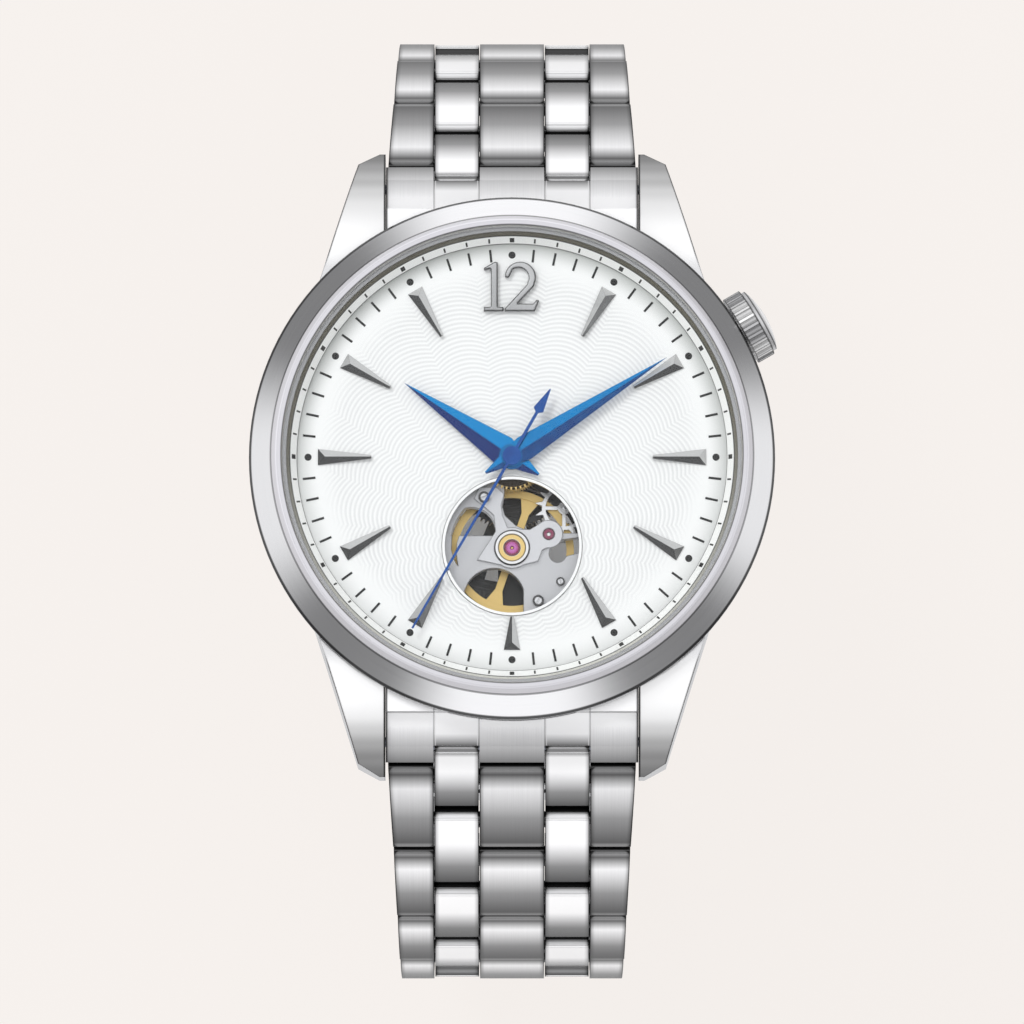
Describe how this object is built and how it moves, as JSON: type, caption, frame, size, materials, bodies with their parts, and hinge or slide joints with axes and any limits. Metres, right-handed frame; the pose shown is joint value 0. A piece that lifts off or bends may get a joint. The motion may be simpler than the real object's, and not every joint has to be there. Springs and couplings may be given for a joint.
{
  "type": "open-heart automatic wristwatch",
  "caption": "Round steel automatic wristwatch with an open-heart aperture, blue hands, fluted crown and a five-row link bracelet with a folding clasp.",
  "frame": {"origin": "where the hand axis meets the flat outer face of the case back", "axes": "+Z out through the dial, +Y towards 12 o'clock, +X towards 3 o'clock"},
  "size_m": [0.0416, 0.075, 0.0654],
  "materials": {
    "polished_steel": "mirror polished steel",
    "satin_steel": "satin brushed steel",
    "sapphire": "clear flat crystal",
    "gasket": "off-white nylon",
    "dial_silver": "silvered, wave guilloche",
    "holder": "moulded ring",
    "plate_nickel": "grained nickel plate",
    "gilt": "gilt",
    "ruby": "synthetic ruby",
    "spring_steel": "spring steel",
    "rotor_nickel": "brushed weight",
    "blued_steel": "bright blue"
  },
  "bodies": {
    "case": {"case_middle": "polished_steel", "bezel": "satin_steel", "crystal": "sapphire", "crystal_gasket": "gasket", "rehaut_ring": "polished_steel", "dial": "dial_silver", "hour_markers": "polished_steel", "movement_holder": "holder", "case_back": "satin_steel", "case_back_window": "sapphire", "main_plate": "plate_nickel", "heart_bridge": "plate_nickel", "heart_setting": "gilt", "train_bridge": "plate_nickel", "balance_cock": "plate_nickel", "jewels": "ruby", "bridge_screws": "polished_steel", "rotor_stud": "polished_steel", "end_link_12": "satin_steel", "end_link_6": "satin_steel", "spring_bars": "spring_steel", "hairspring": "spring_steel"},
    "winding_pinion": {"winding_pinion": "plate_nickel"},
    "crown": {"crown": "polished_steel", "winding_stem": "plate_nickel"},
    "rotor": {"rotor": "rotor_nickel"},
    "reduction_wheel": {"reduction_wheel": "gilt"},
    "ratchet_wheel": {"ratchet_wheel": "satin_steel"},
    "barrel": {"barrel": "gilt", "mainspring": "spring_steel"},
    "seconds": {"fourth_wheel": "gilt", "seconds_hand": "blued_steel"},
    "third_wheel": {"third_wheel": "gilt"},
    "minutes": {"centre_wheel": "gilt", "minute_hand": "blued_steel"},
    "minute_wheel": {"minute_wheel": "gilt"},
    "hours": {"hour_wheel": "gilt", "hour_hand": "blued_steel"},
    "escape_wheel": {"escape_wheel": "satin_steel"},
    "pallet_fork": {"pallet_fork": "satin_steel"},
    "balance": {"balance_wheel": "gilt"},
    "link_12_1": {"link_12_1": "satin_steel"},
    "link_12_2": {"link_12_2": "satin_steel"},
    "link_12_3": {"link_12_3": "satin_steel"},
    "link_12_4": {"link_12_4": "satin_steel"},
    "link_12_5": {"link_12_5": "satin_steel"},
    "link_12_6": {"link_12_6": "satin_steel"},
    "link_12_7": {"link_12_7": "satin_steel"},
    "link_6_1": {"link_6_1": "satin_steel"},
    "link_6_2": {"link_6_2": "satin_steel"},
    "link_6_3": {"link_6_3": "satin_steel"},
    "link_6_4": {"link_6_4": "satin_steel"},
    "link_6_5": {"link_6_5": "satin_steel"},
    "link_6_6": {"link_6_6": "satin_steel"},
    "link_6_7": {"link_6_7": "satin_steel"},
    "clasp_cover": {"clasp_cover": "satin_steel"},
    "clasp_middle_blade": {"clasp_middle_blade": "polished_steel"},
    "clasp_inner_blade": {"clasp_inner_blade": "polished_steel"},
    "clasp_button_right": {"clasp_button_right": "polished_steel"},
    "clasp_button_left": {"clasp_button_left": "polished_steel"}
  },
  "joints": [
    {"name": "crown_turn", "type": "hinge", "parent": "case", "child": "winding_pinion", "pos_m": [0, 0, 0.005], "axis": [0.866, 0.5, 0], "continuous": true},
    {"name": "crown_pull", "type": "slide", "parent": "winding_pinion", "child": "crown", "axis": [0.866, 0.5, 0], "range_m": [0, 0.0012]},
    {"name": "rotor_turn", "type": "hinge", "parent": "case", "child": "rotor", "pos_m": [0, 0, 0.002], "axis": [0, 0, -1], "continuous": true},
    {"name": "reduction_turn", "type": "hinge", "parent": "case", "child": "reduction_wheel", "pos_m": [-0.0013, 0.00329, 0.0023], "axis": [0, 0, -1], "continuous": true},
    {"name": "ratchet_turn", "type": "hinge", "parent": "case", "child": "ratchet_wheel", "pos_m": [-0.00058, 0.00657, 0.0025], "axis": [0, 0, -1], "continuous": true},
    {"name": "barrel_turn", "type": "hinge", "parent": "case", "child": "barrel", "pos_m": [-0.00058, 0.00657, 0.0059], "axis": [0, 0, -1], "continuous": true, "deforming": ["mainspring"]},
    {"name": "seconds_turn", "type": "hinge", "parent": "case", "child": "seconds", "pos_m": [0, 0, 0.0093], "axis": [0, 0, -1], "continuous": true},
    {"name": "third_turn", "type": "hinge", "parent": "case", "child": "third_wheel", "pos_m": [-0.00261, 0.0007, 0.0047], "axis": [0, 0, -1], "continuous": true},
    {"name": "minutes_turn", "type": "hinge", "parent": "case", "child": "minutes", "pos_m": [0, 0, 0.009], "axis": [0, 0, -1], "continuous": true},
    {"name": "minute_wheel_turn", "type": "hinge", "parent": "case", "child": "minute_wheel", "pos_m": [-0.0015, 0.0026, 0.0071], "axis": [0, 0, -1], "continuous": true},
    {"name": "hours_turn", "type": "hinge", "parent": "case", "child": "hours", "pos_m": [0, 0, 0.0087], "axis": [0, 0, -1], "continuous": true},
    {"name": "escape_turn", "type": "hinge", "parent": "case", "child": "escape_wheel", "pos_m": [0.00411, -0.00363, 0.0049], "axis": [0, 0, -1], "continuous": true},
    {"name": "pallet_swing", "type": "hinge", "parent": "case", "child": "pallet_fork", "pos_m": [0.0029, -0.00596, 0.0049], "axis": [0, 0, -1], "range_deg": [-5, 5]},
    {"name": "balance_swing", "type": "hinge", "parent": "case", "child": "balance", "pos_m": [0, -0.00706, 0.0044], "axis": [0, 0, -1], "range_deg": [-270, 270], "deforming": ["hairspring"]},
    {"name": "bracelet_12_hinge_1", "type": "hinge", "parent": "case", "child": "link_12_1", "pos_m": [0, 0.022, 0.0031], "axis": [1, 0, 0], "range_deg": [0, 12]},
    {"name": "bracelet_12_hinge_2", "type": "hinge", "parent": "link_12_1", "child": "link_12_2", "pos_m": [0, 0.02736, -0.00236], "axis": [1, 0, 0], "range_deg": [0, 10.62]},
    {"name": "bracelet_12_hinge_3", "type": "hinge", "parent": "link_12_2", "child": "link_12_3", "pos_m": [0, 0.03206, -0.00968], "axis": [1, 0, 0], "range_deg": [0, 12.51]},
    {"name": "bracelet_12_hinge_4", "type": "hinge", "parent": "link_12_3", "child": "link_12_4", "pos_m": [0, 0.03487, -0.01791], "axis": [1, 0, 0], "range_deg": [0, 11.79]},
    {"name": "bracelet_12_hinge_5", "type": "hinge", "parent": "link_12_4", "child": "link_12_5", "pos_m": [0, 0.03573, -0.02657], "axis": [1, 0, 0], "range_deg": [0, 16.83]},
    {"name": "bracelet_12_hinge_6", "type": "hinge", "parent": "link_12_5", "child": "link_12_6", "pos_m": [0, 0.03377, -0.03505], "axis": [1, 0, 0], "range_deg": [0, 16.2]},
    {"name": "bracelet_12_hinge_7", "type": "hinge", "parent": "link_12_6", "child": "link_12_7", "pos_m": [0, 0.02929, -0.0425], "axis": [1, 0, 0], "range_deg": [0, 18.9]},
    {"name": "bracelet_6_hinge_1", "type": "hinge", "parent": "case", "child": "link_6_1", "pos_m": [0, -0.022, 0.0031], "axis": [-1, 0, 0], "range_deg": [0, 12]},
    {"name": "bracelet_6_hinge_2", "type": "hinge", "parent": "link_6_1", "child": "link_6_2", "pos_m": [0, -0.02736, -0.00236], "axis": [-1, 0, 0], "range_deg": [0, 10.62]},
    {"name": "bracelet_6_hinge_3", "type": "hinge", "parent": "link_6_2", "child": "link_6_3", "pos_m": [0, -0.03206, -0.00968], "axis": [-1, 0, 0], "range_deg": [0, 12.51]},
    {"name": "bracelet_6_hinge_4", "type": "hinge", "parent": "link_6_3", "child": "link_6_4", "pos_m": [0, -0.03487, -0.01791], "axis": [-1, 0, 0], "range_deg": [0, 11.79]},
    {"name": "bracelet_6_hinge_5", "type": "hinge", "parent": "link_6_4", "child": "link_6_5", "pos_m": [0, -0.03573, -0.02657], "axis": [-1, 0, 0], "range_deg": [0, 16.83]},
    {"name": "bracelet_6_hinge_6", "type": "hinge", "parent": "link_6_5", "child": "link_6_6", "pos_m": [0, -0.03377, -0.03505], "axis": [-1, 0, 0], "range_deg": [0, 16.2]},
    {"name": "bracelet_6_hinge_7", "type": "hinge", "parent": "link_6_6", "child": "link_6_7", "pos_m": [0, -0.02929, -0.0425], "axis": [-1, 0, 0], "range_deg": [0, 18.9]},
    {"name": "clasp_hinge", "type": "hinge", "parent": "link_12_7", "child": "clasp_cover", "pos_m": [0, 0.02244, -0.04786], "axis": [1, 0, 0], "range_deg": [0, 14.4]},
    {"name": "clasp_unfold", "type": "hinge", "parent": "clasp_cover", "child": "clasp_middle_blade", "pos_m": [0, -0.01759, -0.04975], "axis": [1, 0, 0], "range_deg": [0, 40]},
    {"name": "clasp_fold", "type": "hinge", "parent": "clasp_middle_blade", "child": "clasp_inner_blade", "pos_m": [0, 0.01566, -0.05], "axis": [-1, 0, 0], "range_deg": [0, 40]},
    {"name": "button_right_press", "type": "slide", "parent": "clasp_cover", "child": "clasp_button_right", "axis": [-1, 0, 0], "range_m": [0, 0.0005]},
    {"name": "button_left_press", "type": "slide", "parent": "clasp_cover", "child": "clasp_button_left", "axis": [1, 0, 0], "range_m": [0, 0.0005]}
  ],
  "couplings": [
    {"joint": "reduction_turn", "follows": "rotor_turn", "ratio": -0.68571},
    {"joint": "ratchet_turn", "follows": "rotor_turn", "ratio": 0.13714},
    {"joint": "barrel_turn", "follows": "seconds_turn", "ratio": -0.002381},
    {"joint": "third_turn", "follows": "seconds_turn", "ratio": -0.13333},
    {"joint": "minutes_turn", "follows": "seconds_turn", "ratio": 0.016667},
    {"joint": "minute_wheel_turn", "follows": "seconds_turn", "ratio": -0.0055556},
    {"joint": "hours_turn", "follows": "seconds_turn", "ratio": 0.0013889},
    {"joint": "escape_turn", "follows": "seconds_turn", "ratio": -12},
    {"joint": "clasp_fold", "follows": "clasp_unfold", "ratio": 1}
  ]
}
